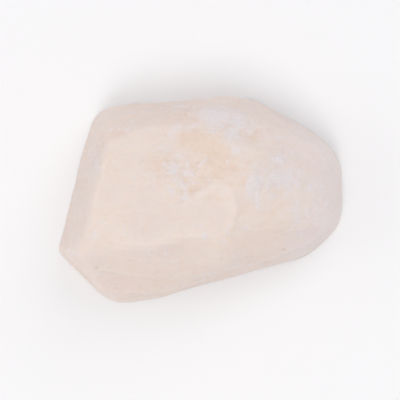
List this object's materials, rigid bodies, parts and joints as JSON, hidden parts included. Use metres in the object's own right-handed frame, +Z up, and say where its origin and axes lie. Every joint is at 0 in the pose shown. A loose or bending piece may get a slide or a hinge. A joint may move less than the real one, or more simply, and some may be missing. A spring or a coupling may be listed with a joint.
{
  "type": "peeled taro root half",
  "caption": "Starchy taro corm, peeled with a knife and split lengthwise, with a flat cut face it lies on; an ingredient for boiling, steaming or frying.",
  "frame": {"origin": "middle of the bounding box seen from above, on the plane of the cut face", "axes": "+X lengthwise towards the narrow tail end, +Y across the half, +Z up and away from the cut face"},
  "size_m": [0.109, 0.08, 0.04],
  "materials": {
    "flesh": "damp starchy plant flesh with a thin frost"
  },
  "bodies": {
    "root": {"taro_half": "flesh"}
  },
  "joints": []
}
